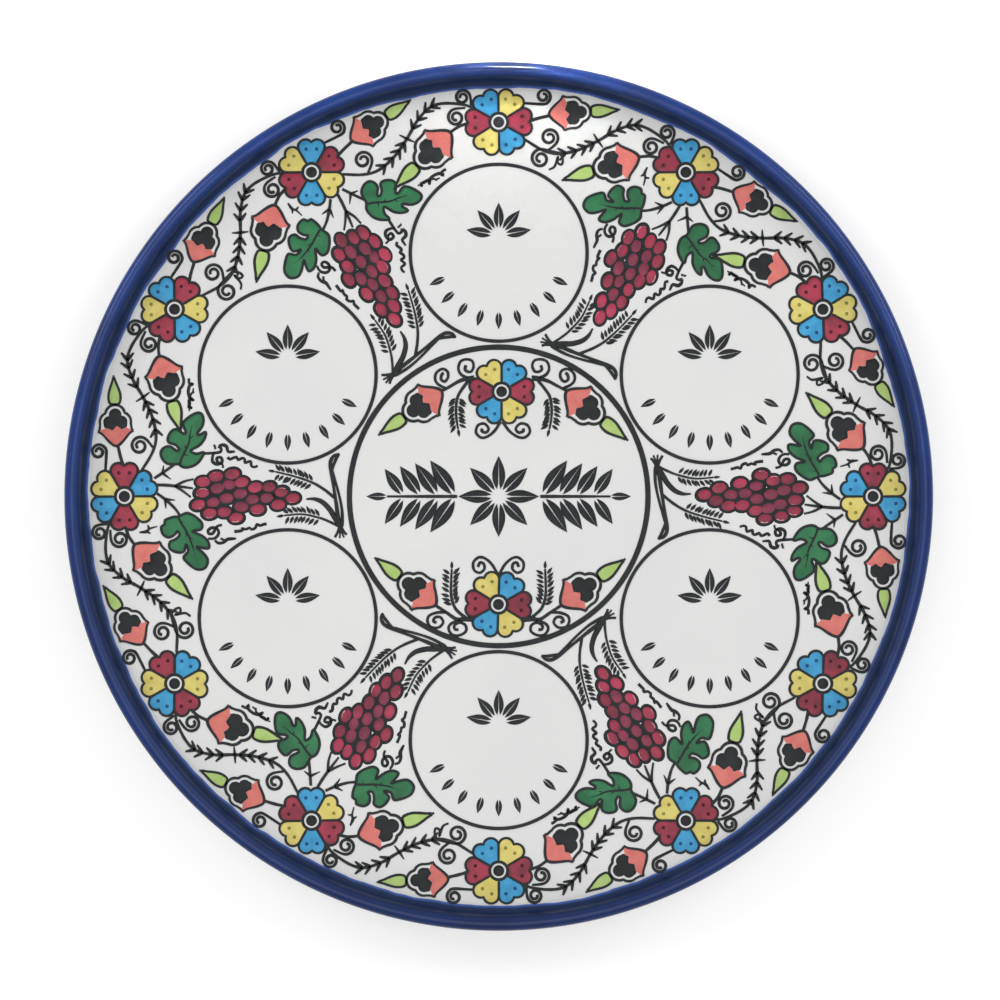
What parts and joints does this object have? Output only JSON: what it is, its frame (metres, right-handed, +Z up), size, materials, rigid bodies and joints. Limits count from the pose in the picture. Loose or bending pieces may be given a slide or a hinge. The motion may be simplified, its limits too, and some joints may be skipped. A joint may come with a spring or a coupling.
{
  "type": "seder plate",
  "caption": "Round glazed ceramic serving plate with a raised cobalt lip, a foot ring, round marked wells about a centre medallion, and a raised floral enamel ornament.",
  "frame": {"origin": "centre of the foot ring on the table", "axes": "+Z up out of the face, +Y towards the top well, +X to the right seen from above"},
  "size_m": [0.3, 0.3, 0.024],
  "materials": {
    "bare_clay": "matte",
    "white_glaze": "gloss",
    "cobalt_glaze": "gloss",
    "black_enamel": "gloss",
    "red_enamel": "gloss",
    "yellow_enamel": "gloss",
    "blue_enamel": "gloss",
    "coral_enamel": "gloss",
    "lime_enamel": "gloss",
    "leaf_enamel": "gloss",
    "grape_enamel": "gloss"
  },
  "bodies": {
    "root": {"biscuit_body": "bare_clay", "field_glaze": "white_glaze", "well_glaze": "white_glaze", "medallion_glaze": "white_glaze", "rim_glaze": "cobalt_glaze", "back_glaze": "white_glaze", "foot_well_glaze": "white_glaze", "medallion_ring": "black_enamel", "well_rings": "black_enamel", "petals_red": "red_enamel", "petals_yellow": "yellow_enamel", "petals_blue": "blue_enamel", "flower_eyes": "black_enamel", "tulip_cups": "coral_enamel", "tulip_hearts": "black_enamel", "buds": "lime_enamel", "flower_stalks": "black_enamel", "feather_vines": "black_enamel", "spiral_tendrils": "black_enamel", "grape_berries": "grape_enamel", "vine_leaves": "leaf_enamel", "grape_stems": "black_enamel", "wheat_ears": "black_enamel", "sheaf_stems": "black_enamel", "blade_leaves": "black_enamel", "centre_laurel": "black_enamel", "well_sprigs": "black_enamel"}
  },
  "joints": []
}
